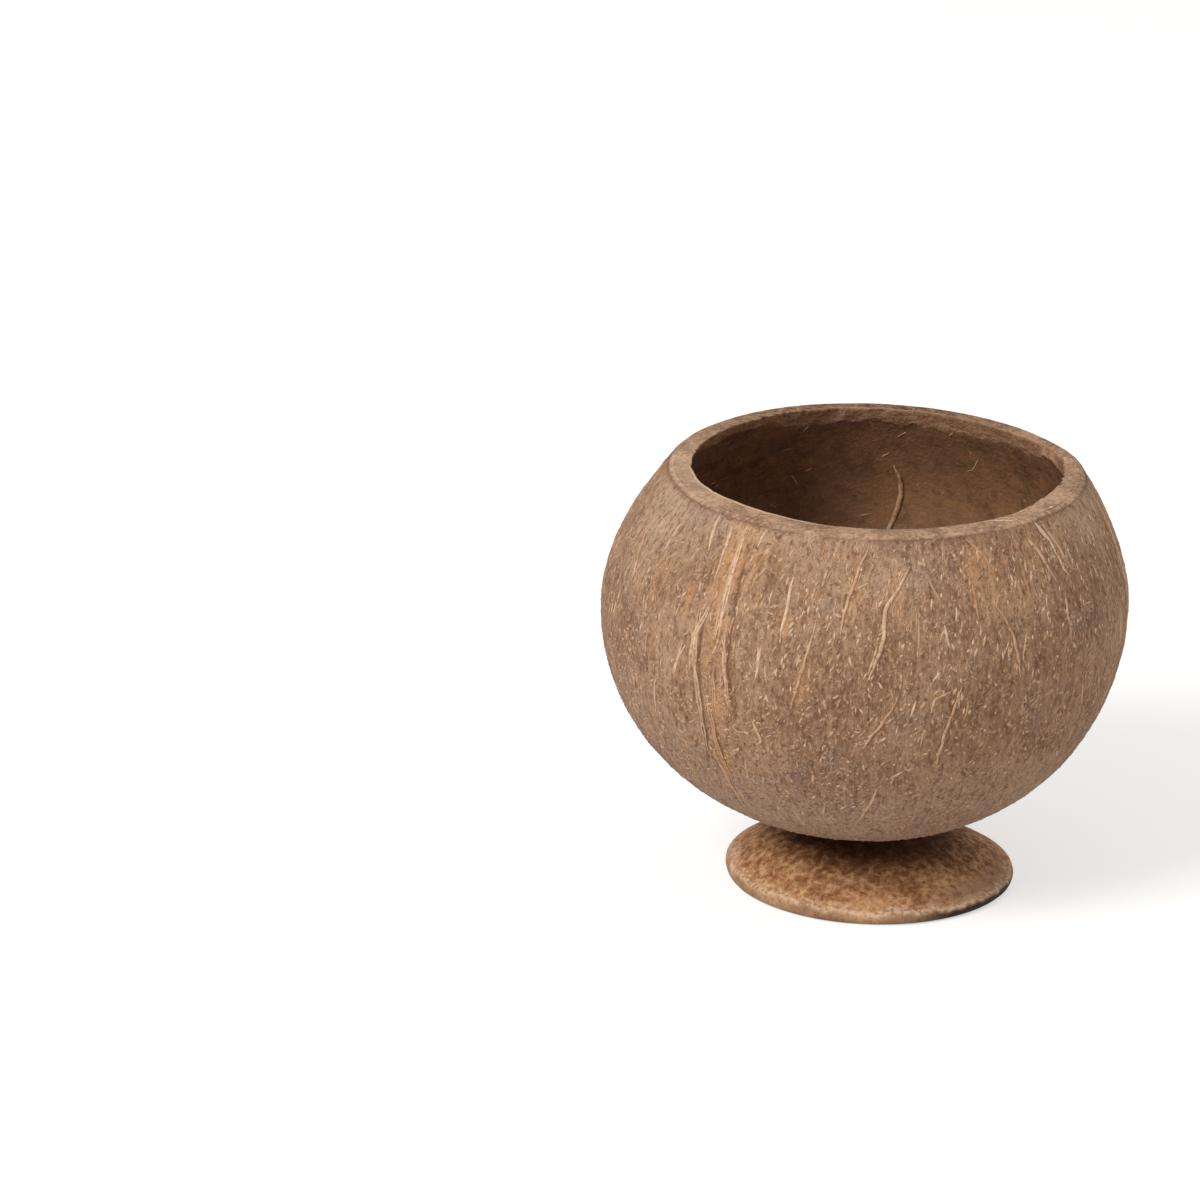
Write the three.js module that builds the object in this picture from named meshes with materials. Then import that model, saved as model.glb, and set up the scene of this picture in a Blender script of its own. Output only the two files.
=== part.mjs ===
// A footed drinking cup made from two pieces of natural coconut shell.
// The bowl is a whole nut with its top sawn off level. The foot is a shallow cap cut from
// another nut. Both crowns are sanded flat and glued face to face, and a few strands of
// husk still cling to the bowl.
//
// Millimetres, +Z up. The foot stands on z = 0, the bowl's widest ring is centred on the
// Z axis, and the side with the most strands faces -Y.

import * as THREE from "three";

// Bowl, outside
const bellyDiameter = 120; // widest ring of the nut
const mouthDiameter = 94.6; // outside, just under the sawn edge
const mouthRise = 31.8; // from the widest ring up to the sawn mouth
const bellyRise = 52.6; // from the sanded flat up to the widest ring
const bowlFlatDiameter = 22; // flat sanded on the crown for the glue

// Bowl, fullness of the curve that the shell follows from crown to mouth. A share is how
// far a handle of the curve reaches along that stretch, by its width or height.
const crownSlope = 0.12; // rise per unit of width where the curve leaves the flat
const crownShare = 0.52;
const bellyShareBelow = 0.586;
const bellyShareAbove = 0.377;
const mouthShare = 0.283;
const mouthLean = 0.72; // sideways per unit of height at the mouth

// Bowl, wall
const bowlWall = 4.1; // measured square to the shell
const bowlFloor = 4.4; // thickness over the sanded flat
const rimEase = 0.7; // both edges of the mouth, rubbed down by hand

// Bowl, the natural lopsidedness of the nut
const axisDrift = 1.6; // sideways drift of the axis, one belly radius above the belly
const axisBow = 3.8; // sideways bow of the axis, one belly radius from the belly
const ridgeRise = 0.5; // height of the three seams of the nut over a true circle
const ridgeAzimuth = -36; // degrees from the front towards +X, first seam

// Foot
const footDiameter = 66.4;
const footEdge = 3.5; // thickness of its rounded edge
const footWall = 3.8;
const domeRadius = 50; // of the nut that the cap was cut from
const crownSanding = 0.83; // taken off the cap's crown to make its flat
const footOffset = 3.8; // the foot is glued this far off the belly's axis, towards +X
const footLopside = 0.18; // share by which the -X side of the cap stands higher

// Glue between the two flats, and the bead squeezed out round them
const glueThickness = 0.4;
const glueDiameter = 16;
const beadDiameter = 25;
const beadGap = 0.1; // kept to both shells
const beadHollow = 0.5; // depth of the bead's hollow outer face

// Husk strands
const coarseStrand = 0.9; // diameter
const fineStrand = 0.65;
const strandGap = 0.3; // kept to the shell

// Facets
const turnSteps = 72;
const lowerSteps = 10;
const upperSteps = 7;
const domeSteps = 9;
const edgeSteps = 6;
const strandSides = 6;
const strandSteps = 12;

const bellyRadius = bellyDiameter / 2;
const mouthRadius = mouthDiameter / 2;
const bowlFlatRadius = bowlFlatDiameter / 2;
const bowlHeight = bellyRise + mouthRise;
const footRadius = footDiameter / 2;
const glueRadius = glueDiameter / 2;
const beadRadius = beadDiameter / 2;

const shellBrown = new THREE.MeshStandardMaterial({ color: 0x937a65, roughness: 0.85, metalness: 0 });
const capBrown = new THREE.MeshStandardMaterial({ color: 0x80593a, roughness: 0.7, metalness: 0 });
const glueBrown = new THREE.MeshStandardMaterial({ color: 0x3b2a1d, roughness: 0.45, metalness: 0 });
const strandTan = new THREE.MeshStandardMaterial({ color: 0xc9a27a, roughness: 0.8, metalness: 0 });

const point = (radius, height) => new THREE.Vector2(radius, height);

// The meridian from the crown's flat out to the belly.
function lowerCurve(crownRadius, crownHeight, radius, slope) {
  const rise = bellyRise - crownHeight;
  const reach = (radius - crownRadius) * crownShare;
  return new THREE.CubicBezierCurve(
    point(crownRadius, crownHeight),
    point(crownRadius + reach, crownHeight + reach * slope),
    point(radius, bellyRise - rise * bellyShareBelow),
    point(radius, bellyRise),
  );
}

// The meridian from the belly up to just under the sawn edge.
function upperCurve(radius, lipRadius) {
  const rise = mouthRise - rimEase;
  const lastHandle = rise * mouthShare;
  return new THREE.CubicBezierCurve(
    point(radius, bellyRise),
    point(radius, bellyRise + rise * bellyShareAbove),
    point(lipRadius + lastHandle * mouthLean, bellyRise + rise - lastHandle),
    point(lipRadius, bellyRise + rise),
  );
}

// Where the wall leans, the level saw cut shows more of it than its thickness.
const rimWidth = bowlWall * Math.hypot(1, mouthLean);
const outerMeridian = [
  ...lowerCurve(bowlFlatRadius, 0, bellyRadius, crownSlope).getPoints(lowerSteps),
  ...upperCurve(bellyRadius, mouthRadius).getPoints(upperSteps).slice(1),
];
const innerMeridian = [
  ...lowerCurve(0, bowlFloor, bellyRadius - bowlWall, 0).getPoints(lowerSteps),
  ...upperCurve(bellyRadius - bowlWall, mouthRadius - rimWidth).getPoints(upperSteps).slice(1),
];

// Moves a point of the true round shell to its place on the lopsided nut. Heights don't
// change, so level cuts stay level.
function natural(position) {
  const fromBelly = (position.z - bellyRise) / bellyRadius;
  const fade = THREE.MathUtils.smoothstep(position.z, 0, bellyRise);
  const azimuth = Math.atan2(position.x, -position.y);
  const seams = Math.cos(3 * (azimuth - THREE.MathUtils.degToRad(ridgeAzimuth)));
  const swell = 1 + (ridgeRise / bellyRadius) * fade * seams;
  const drift = axisDrift * fromBelly + axisBow * fromBelly * fromBelly;
  return position.set(position.x * swell + drift, position.y * swell, position.z);
}

// A closed profile turned about Z, with each vertex then moved by form.
function turned(profile, form) {
  const geometry = new THREE.LatheGeometry(profile, turnSteps).rotateX(Math.PI / 2);
  const positions = geometry.getAttribute("position");
  const vertex = new THREE.Vector3();
  for (let i = 0; i < positions.count; i += 1) {
    vertex.fromBufferAttribute(positions, i);
    form(vertex);
    positions.setXYZ(i, vertex.x, vertex.y, vertex.z);
  }
  return geometry;
}

function named(name, geometry, material) {
  const mesh = new THREE.Mesh(geometry, material);
  mesh.name = name;
  return mesh;
}

function bowlShell() {
  const profile = [
    point(0, 0),
    ...outerMeridian,
    point(mouthRadius - rimEase, bowlHeight),
    point(mouthRadius - rimWidth + rimEase, bowlHeight),
    ...innerMeridian.toReversed(),
  ];
  return named("bowl_shell", turned(profile, natural), shellBrown);
}

// The cap's outside and inside are arcs about one centre, below the table.
const edgeRadius = footEdge / 2;
const domeFoot = footRadius - edgeRadius;
const domeCentre = footEdge - Math.sqrt(domeRadius ** 2 - domeFoot ** 2);
const footHeight = domeCentre + domeRadius - crownSanding;
const footFlatRadius = Math.sqrt(domeRadius ** 2 - (domeRadius - crownSanding) ** 2);

function arcPoints(centreRadius, centreHeight, radius, from, to, steps) {
  const arc = new THREE.EllipseCurve(centreRadius, centreHeight, radius, radius, from, to, to < from);
  return arc.getPoints(steps);
}

// The cap is a little higher on its -X side, but its crown and its base stay level.
function lopsided(position) {
  const radius = Math.hypot(position.x, position.y);
  const outward = Math.max(0, (radius - footFlatRadius) / (footRadius - footFlatRadius));
  const side = radius > 0 ? -position.x / radius : 0;
  position.z *= 1 + footLopside * outward * side;
  return position;
}

function footShell() {
  const hollow = domeRadius - footWall;
  const hollowFoot = Math.asin(-domeCentre / hollow);
  const domeStart = Math.atan2(footEdge - domeCentre, domeFoot);
  const domeEnd = Math.atan2(footHeight - domeCentre, footFlatRadius);
  const profile = [
    ...arcPoints(0, domeCentre, hollow, Math.PI / 2, hollowFoot, domeSteps),
    ...arcPoints(domeFoot, edgeRadius, edgeRadius, -Math.PI / 2, Math.PI / 2, edgeSteps),
    ...arcPoints(0, domeCentre, domeRadius, domeStart, domeEnd, domeSteps).slice(1),
    point(0, footHeight),
  ];
  profile[0].x = 0;
  return named("foot_shell", turned(profile, lopsided), capBrown);
}

const driftAtBase = axisBow * (bellyRise / bellyRadius) ** 2 - axisDrift * (bellyRise / bellyRadius);
const glueOffset = (driftAtBase + footOffset) / 2;

function glueJoint() {
  // The bead stays under the bowl's flat and over the cap's dome, both at their nearest.
  const offCentre = Math.abs(footOffset - driftAtBase) / 2;
  const nearCap = Math.max(beadRadius - offCentre, footFlatRadius);
  const capDrop = footHeight - domeCentre - Math.sqrt(domeRadius ** 2 - nearCap ** 2);
  const beadTop = glueThickness - beadGap;
  const beadBottom = -Math.max(0, capDrop - beadGap);
  const beadStart = Math.max(glueRadius, footFlatRadius + offCentre);
  const profile = [
    point(0, 0),
    point(glueRadius, 0),
    point(glueRadius, beadGap),
    point(beadStart, beadGap),
    point(beadRadius, beadBottom),
    point(beadRadius - beadHollow, (beadTop + beadBottom) / 2),
    point(beadRadius, beadTop),
    point(glueRadius, beadTop),
    point(glueRadius, glueThickness),
    point(0, glueThickness),
  ];
  return named("glue_joint", turned(profile, (position) => position), glueBrown);
}

// Radius and outward slope of a meridian at a height, read from the same facets as the shell.
function meridianAt(meridian, height) {
  const last = meridian.length - 2;
  const above = meridian.findIndex((p) => p.y >= height);
  const i = THREE.MathUtils.clamp(above - 1, 0, last);
  const low = meridian[i];
  const high = meridian[i + 1];
  const share = (height - low.y) / (high.y - low.y);
  const radius = low.x + (high.x - low.x) * share;
  const normal = point(high.y - low.y, low.x - high.x).normalize();
  return { radius, normal };
}

// A strand of husk that follows the shell through places given as [azimuth in degrees from
// the front towards +X, share of the way from the belly up to the mouth, or down to the
// crown where it is negative]. It stands off the outside, or the inside.
function huskStrand(name, diameter, places, inside = false) {
  const meridian = inside ? innerMeridian : outerMeridian;
  const lift = (strandGap + diameter / 2) * (inside ? -1 : 1);
  const stations = places.map(([degrees, share]) => {
    const level = bellyRise + share * (share > 0 ? mouthRise : bellyRise);
    const { radius, normal } = meridianAt(meridian, level);
    const azimuth = THREE.MathUtils.degToRad(degrees);
    const out = radius + lift * normal.x;
    const on = new THREE.Vector3(out * Math.sin(azimuth), -out * Math.cos(azimuth), level);
    natural(on);
    on.z += lift * normal.y;
    return on;
  });
  const section = new THREE.Shape(arcPoints(0, 0, diameter / 2, 0, 2 * Math.PI, strandSides).slice(1));
  const geometry = new THREE.ExtrudeGeometry(section, {
    steps: strandSteps,
    bevelEnabled: false,
    extrudePath: new THREE.CatmullRomCurve3(stations),
  });
  return named(name, geometry, strandTan);
}

const bowl = new THREE.Group();
bowl.position.z = footHeight + glueThickness;
bowl.add(
  bowlShell(),
  huskStrand("husk_strand_front", coarseStrand, [[7, 0.76], [3, 0.57], [2, 0.38], [0, 0.1]]),
  huskStrand("husk_strand_front_left", coarseStrand, [[-3, 0.92], [-5, 0.76], [-6, 0.54]]),
  huskStrand("husk_strand_mid_left", fineStrand, [[-13, 0.42], [-14, 0.16], [-16, -0.09]]),
  huskStrand("husk_strand_low_front", fineStrand, [[5, -0.03], [4, -0.13], [0, -0.26]]),
  huskStrand("husk_strand_low_right", fineStrand, [[20, 0.01], [18, -0.19], [17, -0.36]]),
  huskStrand("husk_strand_right", coarseStrand, [[30, 0.51], [32, 0.29], [34, 0.04]]),
  huskStrand("husk_strand_rim_right", fineStrand, [[48, 0.92], [49, 0.79], [51, 0.6]]),
  huskStrand("husk_strand_far_left", fineStrand, [[-69, 0.54], [-68, 0.45], [-66, 0.32]]),
  huskStrand("husk_strand_inside", coarseStrand, [[172, 0.45], [170, 0.26], [171, 0.07], [174, -0.11]], true),
);

const foot = new THREE.Group();
foot.position.x = footOffset;
foot.add(footShell());

const joint = new THREE.Group();
joint.position.set(glueOffset, 0, footHeight);
joint.add(glueJoint());

const coconutCup = new THREE.Group();
coconutCup.add(foot, joint, bowl);

export default coconutCup;
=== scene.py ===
import math

import bpy
import numpy as np
from mathutils import Matrix, Vector, noise


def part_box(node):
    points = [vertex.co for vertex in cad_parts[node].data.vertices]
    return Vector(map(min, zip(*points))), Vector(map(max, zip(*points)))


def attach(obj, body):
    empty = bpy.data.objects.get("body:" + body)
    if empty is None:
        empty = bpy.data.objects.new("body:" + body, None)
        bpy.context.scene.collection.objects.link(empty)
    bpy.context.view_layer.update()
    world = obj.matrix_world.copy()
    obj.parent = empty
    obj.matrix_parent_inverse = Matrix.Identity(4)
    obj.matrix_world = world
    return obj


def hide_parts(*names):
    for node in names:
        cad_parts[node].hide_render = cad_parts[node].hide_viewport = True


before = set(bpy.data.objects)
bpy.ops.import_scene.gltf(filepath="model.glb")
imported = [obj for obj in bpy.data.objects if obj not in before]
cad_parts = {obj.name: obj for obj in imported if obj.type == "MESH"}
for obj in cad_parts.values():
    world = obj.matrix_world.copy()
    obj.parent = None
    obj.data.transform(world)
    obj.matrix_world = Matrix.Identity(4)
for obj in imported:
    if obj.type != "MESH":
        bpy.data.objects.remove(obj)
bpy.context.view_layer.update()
scene = bpy.context.scene


# The camera
# A long lens two metres away, looking down on the cup by twenty degrees and held a little
# askew. Pixels are those of the square picture, from its upper left corner.
PICTURE_PIXELS = 1200
FOCAL_PIXELS = 8670
ORIGIN_PIXEL = (852.65, 871.66)  # where the point on the table under the bowl's axis shows
CAMERA_DISTANCE = 2.0
CAMERA_PITCH = math.radians(20.144)
CAMERA_ROLL = math.radians(1.453)
SENSOR_WIDTH = 36


def add_object(name, data):
    made = bpy.data.objects.new(name, data)
    scene.collection.objects.link(made)
    return made


camera = add_object("camera", bpy.data.cameras.new("camera"))
camera.data.sensor_width = SENSOR_WIDTH
camera.data.lens = SENSOR_WIDTH * FOCAL_PIXELS / PICTURE_PIXELS
aim = Matrix.Rotation(math.pi / 2 - CAMERA_PITCH, 3, "X") @ Matrix.Rotation(CAMERA_ROLL, 3, "Z")
pixel_size = CAMERA_DISTANCE / FOCAL_PIXELS
origin_seen = Vector((
    (ORIGIN_PIXEL[0] - PICTURE_PIXELS / 2) * pixel_size,
    (PICTURE_PIXELS / 2 - ORIGIN_PIXEL[1]) * pixel_size,
    -CAMERA_DISTANCE,
))
camera.matrix_world = Matrix.Translation(-(aim @ origin_seen)) @ aim.to_4x4()
scene.camera = camera
scene.view_settings.view_transform = "Standard"


# The table and the light
# A white table top that runs on out of view, under one broad soft lamp from the upper left
# and a weak one from the right, in an evenly lit pale room.
KEY_PLACE = (-1.05, -1.0, 1.25)
KEY_SIZE = 0.8
KEY_POWER = 25
FILL_PLACE = (1.5, 0.0, 0.75)
FILL_SIZE = 1.2
FILL_POWER = 5
ROOM_LIGHT = 0.44
TABLE_GLOW = 0.53
TABLE_SIZE = 12
LIT_POINT = Vector((0, 0, 0.05))


class Finish:
    """A material, built a node at a time."""

    def __init__(self, name):
        self.material = bpy.data.materials.new(name)
        self.material.use_nodes = True
        self.tree = self.material.node_tree
        self.tree.nodes.clear()

    def add(self, kind, inputs, **settings):
        made = self.tree.nodes.new("ShaderNode" + kind)
        for key, value in settings.items():
            setattr(made, key, value)
        for key, value in inputs.items():
            if isinstance(value, bpy.types.NodeSocket):
                self.tree.links.new(value, made.inputs[key])
            else:
                made.inputs[key].default_value = value
        return made

    def surface(self, shader):
        self.add("OutputMaterial", {"Surface": shader})
        return self.material


def colour(hex_digits):
    """Six hex digits of a colour as it is seen, turned to a shader's linear light."""
    parts = [int(hex_digits[i:i + 2], 16) / 255 for i in (0, 2, 4)]
    return [p / 12.92 if p <= 0.04045 else ((p + 0.055) / 1.055) ** 2.4 for p in parts] + [1.0]


def add_lamp(name, place, size, power):
    lamp = add_object(name, bpy.data.lights.new(name, "AREA"))
    lamp.data.size = size
    lamp.data.energy = power
    lamp.location = place
    lamp.rotation_euler = (LIT_POINT - lamp.location).to_track_quat("-Z", "Y").to_euler()


add_lamp("key_lamp", KEY_PLACE, KEY_SIZE, KEY_POWER)
add_lamp("fill_lamp", FILL_PLACE, FILL_SIZE, FILL_POWER)

world = bpy.data.worlds.new("pale_room")
world.use_nodes = True
world.node_tree.nodes["Background"].inputs["Color"].default_value = (1, 1, 1, 1)
world.node_tree.nodes["Background"].inputs["Strength"].default_value = ROOM_LIGHT
scene.world = world


def white_table_top():
    finish = Finish("white_table_top")
    path = finish.add("LightPath", {}).outputs
    seen = path["Is Camera Ray"]
    for kind in ("Is Glossy Ray", "Is Transmission Ray"):
        seen = finish.add("Math", {0: seen, 1: path[kind]}, operation="MAXIMUM").outputs[0]
    lit = finish.add("BsdfDiffuse", {"Color": colour("d8d6d3")}).outputs[0]
    glow = finish.add("Emission", {"Color": (1, 1, 1, 1), "Strength": TABLE_GLOW}).outputs[0]
    bright = finish.add("AddShader", {0: lit, 1: glow}).outputs[0]
    return finish.surface(finish.add("MixShader", {0: seen, 1: lit, 2: bright}).outputs[0])


half = TABLE_SIZE / 2
table_corners = [(-half, -half, 0), (half, -half, 0), (half, half, 0), (-half, half, 0)]
table_top = add_object("table_top", bpy.data.meshes.new("table_top"))
table_top.data.from_pydata(table_corners, [], [(0, 1, 2, 3)])
table_top.data.materials.append(white_table_top())


# The bowl
# A whole nut, scraped bare of husk. Its top is sawn off nearly level, the flesh is scraped out
# of it, and the crown underneath is sanded flat to take the glue. It is neither oiled nor
# lacquered. Sizes are millimetres, heights over the table are called levels.
MM = 0.001
bowl_low, bowl_high = (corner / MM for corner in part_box("bowl_shell"))
BOWL_BASE = bowl_low.z
BOWL_HEIGHT = bowl_high.z - bowl_low.z
BELLY_RADIUS = (bowl_high.y - bowl_low.y) / 2
BELLY_RISE = 52.6  # from the sanded flat up to the widest ring
MOUTH_RISE = BOWL_HEIGHT - BELLY_RISE
MOUTH_RADIUS = 47.3
CROWN_RADIUS = 11
WALL = 4.1
FLOOR = 4.4
RIM_EASE = 0.7
MOUTH_LEAN = 0.72  # how far the shell leans in at the mouth, sideways per unit of height
CROWN_SLOPE = 0.12
CROWN_HANDLE = 0.52  # the handles of the shell's curves, as shares of their reach or rise
LOWER_HANDLE = 0.586
UPPER_HANDLE = 0.377
MOUTH_HANDLE = 0.283
AXIS_DRIFT = 1.6
AXIS_BOW = 3.8
RIDGE_RISE = 0.5
SEAMS = (-36, 84, 204)  # degrees from the front towards +X, where the nut's three ridges run
SAW_LIFT = 0.6  # by which the sawn edge stands higher at the front than at the back
LIFT_START = 60  # rise from which the shell follows that lift

COLUMNS = 400
SEAM_SPREAD = 6.0  # degrees either side of a seam where the mesh's columns lie closer
SEAM_DENSITY = 2.2
CROWN_ROWS = 4
OUTSIDE_ROWS = 150
BAND_ROWS = 6
INSIDE_ROWS = 70


def bezier(start, first, last, end, steps=300):
    share = np.linspace(0, 1, steps + 1)[:, None]
    rest = 1 - share
    ends = rest ** 3 * np.array(start) + share ** 3 * np.array(end)
    return ends + 3 * rest ** 2 * share * np.array(first) + 3 * rest * share ** 2 * np.array(last)


def lengths_along(line):
    return np.append(0, np.cumsum(np.linalg.norm(np.diff(line, axis=0), axis=1)))


def meridian(crown_radius, crown_rise, slope, belly_radius, lip_radius):
    """The curve from the crown out to the belly and up to just under the sawn edge.

    Gives the lengths along it, and the radii and rises there.
    """
    rise = BELLY_RISE - crown_rise
    reach = (belly_radius - crown_radius) * CROWN_HANDLE
    below = bezier(
        (crown_radius, crown_rise),
        (crown_radius + reach, crown_rise + reach * slope),
        (belly_radius, BELLY_RISE - rise * LOWER_HANDLE),
        (belly_radius, BELLY_RISE),
    )
    rise = MOUTH_RISE - RIM_EASE
    handle = rise * MOUTH_HANDLE
    above = bezier(
        (belly_radius, BELLY_RISE),
        (belly_radius, BELLY_RISE + rise * UPPER_HANDLE),
        (lip_radius + handle * MOUTH_LEAN, BELLY_RISE + rise - handle),
        (lip_radius, BELLY_RISE + rise),
    )
    curve = np.vstack([below, above[1:]])
    return lengths_along(curve), curve[:, 0], curve[:, 1]


RIM_WIDTH = WALL * math.hypot(1, MOUTH_LEAN)
outside_line = meridian(CROWN_RADIUS, 0, CROWN_SLOPE, BELLY_RADIUS, MOUTH_RADIUS)
inside_line = meridian(0, FLOOR, 0, BELLY_RADIUS - WALL, MOUTH_RADIUS - RIM_WIDTH)


def up_line(line, along):
    """Radius and rise at so many millimetres up a wall's curve."""
    lengths, radii, rises = line
    return np.interp(along, lengths, radii), np.interp(along, lengths, rises)


def along_line(line, rise):
    """Millimetres up a wall's curve, for a rise over the crown's flat."""
    lengths, _, rises = line
    return np.interp(rise, rises, lengths)


def smooth(value):
    value = np.clip(value, 0, 1)
    return value * value * (3 - 2 * value)


def on_nut(radius, degrees, rise):
    """Points of the lopsided nut, in millimetres, for places on a true round one."""
    azimuth = np.radians(degrees)
    from_belly = (rise - BELLY_RISE) / BELLY_RADIUS
    ridges = smooth(rise / BELLY_RISE) * np.cos(3 * (azimuth - math.radians(SEAMS[0])))
    swell = 1 + RIDGE_RISE / BELLY_RADIUS * ridges
    drift = AXIS_DRIFT * from_belly + AXIS_BOW * from_belly ** 2
    lift = SAW_LIFT * smooth((rise - LIFT_START) / (BOWL_HEIGHT - LIFT_START)) * (1 + np.cos(azimuth)) / 2
    x = radius * np.sin(azimuth) * swell + drift
    y = -radius * np.cos(azimuth) * swell
    return np.stack(np.broadcast_arrays(x, y, rise + lift + BOWL_BASE), axis=-1)


def lumps(points, size, seed):
    """Smooth noise from about -1 to 1 at each point, with lumps of a size in millimetres."""
    scaled = points.reshape(-1, 3) / size + 31.7 * seed
    return np.array([noise.noise(p) for p in scaled.tolist()]).reshape(points.shape[:-1])


def waves(points, table):
    """Lumps of several sizes together: the height, size and seed of each."""
    return sum(height * lumps(points, size, seed) for height, size, seed in table)


def degrees_apart(first, second):
    return (first - second + 180) % 360 - 180


def bell(degrees, middle, spread):
    """1 at a middle, falling away to both sides round the cup."""
    return np.exp(-(degrees_apart(degrees, middle) / spread) ** 2)


def stretch(degrees, middle, spread, reach):
    """1 over a stretch round a middle, and 0 beyond its soft ends."""
    return smooth(reach - np.abs(degrees_apart(degrees, middle)) / spread)


# Creases that the husk's long fibres pressed beside each ridge: level, and degrees from the
# ridge. The middle ridge at the right has them the other way round.
CREASES = (
    ((80, -3.2), (70, -2.6), (63, -1.6), (51, -1.2), (41, -3.4)),
    ((63, -0.6), (56, 1), (50, 1.6), (44, 2.2), (38, 1.4), (26, -2.4)),
    ((94, 2), (80, 4), (69, 5), (57, 7)),
)
CREASE_DEPTH = 0.16
CREASE_WIDTH = 0.55
CREASE_FADE = 5
CREASE_SIDES = (1, -1, 1)
OUTSIDE_WAVES = ((0.2, 26, 0), (0.12, 9, 1), (0.08, 3.5, 2))
INSIDE_WAVES = ((0.22, 16, 11), (0.08, 4.5, 12))
SLOPE_STEP = 0.5


def crease_depth(degrees, level):
    """How deep a place lies in the creases, from 0 to 1."""
    depth = np.zeros(np.broadcast(degrees, level).shape)
    for seam, side in zip(SEAMS, CREASE_SIDES):
        for route in CREASES:
            levels, offsets = np.array(sorted(route)).T
            middle = seam + side * np.interp(level, levels, offsets)
            away = np.radians(degrees_apart(degrees, middle)) * BELLY_RADIUS
            begun = np.clip((level - levels[0]) / CREASE_FADE, 0, 1)
            unended = np.clip((levels[-1] - level) / CREASE_FADE, 0, 1)
            depth = np.maximum(depth, begun * unended * np.exp(-(away / CREASE_WIDTH) ** 2))
    return depth


def outside_relief(points, degrees, level):
    """How far the outside stands proud of the smooth nut, in millimetres."""
    return waves(points, OUTSIDE_WAVES) - CREASE_DEPTH * crease_depth(degrees, level)


def facing(degrees, run, climb):
    """Outward normals of a turned wall, from how far it runs out and climbs over a short way."""
    steep = np.maximum(np.hypot(run, climb), 1e-6)
    azimuth = np.radians(degrees)
    across = climb / steep
    return np.stack([across * np.sin(azimuth), -across * np.cos(azimuth), -run / steep], axis=-1)


def on_line(line, degrees, along):
    """Points and outward normals of a wall: degrees from the front, and millimetres up its curve."""
    degrees, along = np.broadcast_arrays(np.asarray(degrees, float), np.asarray(along, float))
    radius, rise = up_line(line, along)
    further = up_line(line, along + SLOPE_STEP)
    nearer = up_line(line, along - SLOPE_STEP)
    normals = facing(degrees, further[0] - nearer[0], further[1] - nearer[1])
    return on_nut(radius, degrees, rise), normals, rise + BOWL_BASE


def on_outside(degrees, along):
    points, normals, level = on_line(outside_line, degrees, along)
    return points + normals * outside_relief(points, degrees, level)[..., None], normals


def on_inside(degrees, along):
    points, normals, _ = on_line(inside_line, degrees, along)
    return points + normals * waves(points, INSIDE_WAVES)[..., None], -normals


def outside_along(level):
    """Millimetres up from the crown's flat along the outside, for a level."""
    return along_line(outside_line, np.asarray(level, float) - BOWL_BASE)


def inside_along(level):
    return along_line(inside_line, np.asarray(level, float) - BOWL_BASE)


def columns_round():
    """Degrees of the mesh's columns, which lie closer beside the seams."""
    fine = np.linspace(-180, 180, 7201)
    density = np.ones_like(fine)
    for seam in SEAMS:
        density += SEAM_DENSITY * bell(fine, seam, SEAM_SPREAD)
    total = np.append(0, np.cumsum((density[1:] + density[:-1]) / 2))
    return np.interp(np.linspace(0, total[-1], COLUMNS, endpoint=False), total, fine)


def ring_faces(rows, columns):
    """Quads of a stack of rings, and the fans that close it at a first and a last point."""
    grid = np.arange(rows * columns).reshape(rows, columns)
    following = np.roll(grid, -1, axis=1)
    quads = np.stack([grid[:-1], following[:-1], following[1:], grid[1:]], axis=-1).reshape(-1, 4)
    first, last = rows * columns, rows * columns + 1
    start = [[first, b, a] for a, b in zip(grid[0].tolist(), following[0].tolist())]
    end = [[a, b, last] for a, b in zip(grid[-1].tolist(), following[-1].tolist())]
    return quads.tolist() + start + end


def add_piece(name, points, faces, materials, zones=None, **stored):
    """A smooth mesh piece that rides on the cup, with stored values or vectors for its points."""
    mesh = bpy.data.meshes.new(name)
    mesh.from_pydata((points * MM).tolist(), [], faces)
    for key, values in stored.items():
        kind, field = ("FLOAT_VECTOR", "vector") if values.ndim == 2 else ("FLOAT", "value")
        made = mesh.attributes.new(key, kind, "POINT")
        made.data.foreach_set(field, values.astype(np.float32).ravel())
    for material in materials:
        mesh.materials.append(material)
    if zones is not None:
        mesh.polygons.foreach_set("material_index", np.asarray(zones, np.int32))
    mesh.shade_smooth()
    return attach(add_object(name, mesh), "root")


def ring_noise(degrees, size, seed, radius=BELLY_RADIUS):
    """Noise along a ring, for each of its columns."""
    azimuth = np.radians(degrees)
    points = np.stack([radius * np.sin(azimuth), radius * np.cos(azimuth), np.zeros_like(azimuth)], axis=-1)
    return lumps(points, size, seed)


# The rim's rings: a sawn face, a narrow band sanded round its outer edge with a fine crease
# under it, and a ragged inner edge where the skin inside has chipped away.
BAND_FOOT = (47.42, 83.5)  # radius, and rise over the crown's flat
BAND_HEAD = (46.1, 84.2)
BAND_SHARES = (0.12, 0.5, 0.88)  # where the band's rings lie, from its foot to its head
FACE_RISE = BOWL_HEIGHT - 0.1
FACE_EASE = 0.3  # width of the rounded edge between the band and the sawn face
FACE_DROP = 0.06
FACE_SHARES = (0.3, 0.6, 0.8, 0.9, 1.0)  # where the face's rings lie, from there to its inner edge
LEAST_FACE = 0.9
INNER_EDGE = 42.2
EDGE_LOSS = 0.8  # by which the inner edge has broken away at the far side
UNEVEN_WALL = ((-42, 24, -1.6), (66, 14, -1.1), (108, 16, 1.7))  # degrees, spread, how much thinner
HANDLED = ((0, 30, 0.15), (-82, 30, -0.3), (78, 28, -0.1))  # degrees, spread, how much darker
CREASE_GAP = 0.35  # from the last ring of the outside to the crease under the band
CREASE_CLEAREST = (-62, 38)  # degrees from the front, and spread, of where the painted shade in the crease shows most
BROKEN = (178, 31)
# Where a painted highlight runs along the sawn face's inner edge: degrees from the front, and spread.
BURNISHED = (-50, 34)
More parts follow.
